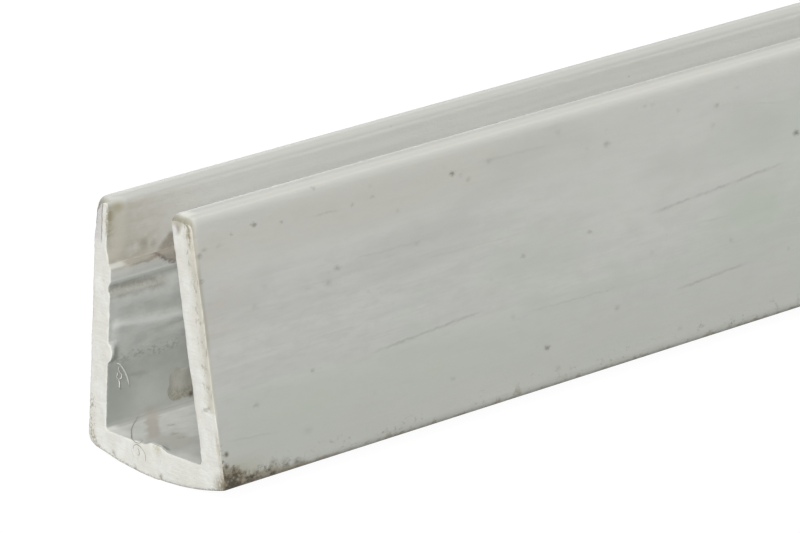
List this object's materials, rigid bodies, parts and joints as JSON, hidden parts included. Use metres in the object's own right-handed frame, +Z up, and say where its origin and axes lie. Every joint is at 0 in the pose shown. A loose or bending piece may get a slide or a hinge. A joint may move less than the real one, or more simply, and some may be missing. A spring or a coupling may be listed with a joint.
{
  "type": "plastic u-channel glazing profile",
  "caption": "Straight length of weathered grey PVC U-channel with a crowned base and two legs that lean together, to grip the edge of a pane or panel.",
  "frame": {"origin": "middle of the length and of the width, on the level of the underside's lowest line", "axes": "+X along the length, away from the end that the picture shows; +Z up, from the crowned base to the open mouth; -Y is the side of the taller, thicker leg"},
  "size_m": [1, 0.0145, 0.0192],
  "materials": {
    "weathered_pvc": "dull weathered rigid PVC, pale warm grey, off-white where it is freshly sawn"
  },
  "bodies": {
    "root": {"channel_profile": "weathered_pvc"}
  },
  "joints": []
}
